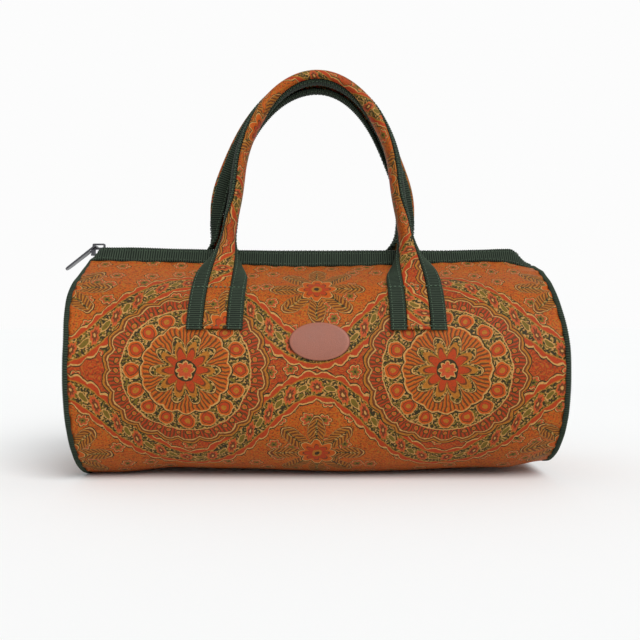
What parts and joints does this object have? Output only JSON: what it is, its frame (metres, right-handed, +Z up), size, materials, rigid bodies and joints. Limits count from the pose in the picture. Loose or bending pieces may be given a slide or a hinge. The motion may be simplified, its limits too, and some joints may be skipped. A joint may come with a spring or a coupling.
{
  "type": "boston bag",
  "caption": "Barrel-shaped cloth boston bag with bound end panels, a zip along its top ridge with a swinging puller, and two curled strap handles.",
  "frame": {"origin": "middle of the flat base, on the surface that the bag stands on", "axes": "+X along the bag to the viewer's right, the front faces -Y, +Z up to the zip ridge and handles"},
  "size_m": [0.3256, 0.1518, 0.2728],
  "materials": {
    "printed_cloth": "printed coated cotton, orange and rust ornament",
    "ribbed_tape": "dark green ribbed tape",
    "zip_cloth": "dark green woven zip tape",
    "zip_metal": "dull nickel teeth",
    "slider_metal": "polished gunmetal",
    "patch_leather": "smooth pressed leather"
  },
  "bodies": {
    "bag": {"body_panel": "printed_cloth", "left_end_panel": "printed_cloth", "right_end_panel": "printed_cloth", "front_handle_strap": "printed_cloth", "back_handle_strap": "printed_cloth", "left_end_binding": "ribbed_tape", "right_end_binding": "ribbed_tape", "front_zip_binding": "ribbed_tape", "back_zip_binding": "ribbed_tape", "front_handle_inner_binding": "ribbed_tape", "front_handle_outer_binding": "ribbed_tape", "back_handle_inner_binding": "ribbed_tape", "back_handle_outer_binding": "ribbed_tape", "front_zip_tape": "zip_cloth", "back_zip_tape": "zip_cloth", "front_zip_teeth": "zip_metal", "back_zip_teeth": "zip_metal", "zip_top_stops": "zip_metal", "zip_bottom_stop": "zip_metal", "leather_patch": "patch_leather"},
    "slider": {"zip_slider": "slider_metal"},
    "puller": {"pull_tab": "slider_metal"}
  },
  "joints": [
    {"name": "zip_slide", "type": "slide", "parent": "bag", "child": "slider", "axis": [1, 0, 0], "range_m": [0, 0.28], "deforming": ["front_zip_tape", "back_zip_tape", "front_zip_teeth", "back_zip_teeth"]},
    {"name": "pull_tab_swing", "type": "hinge", "parent": "slider", "child": "puller", "pos_m": [-0.15275, 0, 0.15165], "axis": [0, 1, 0], "range_deg": [0, 180]}
  ]
}
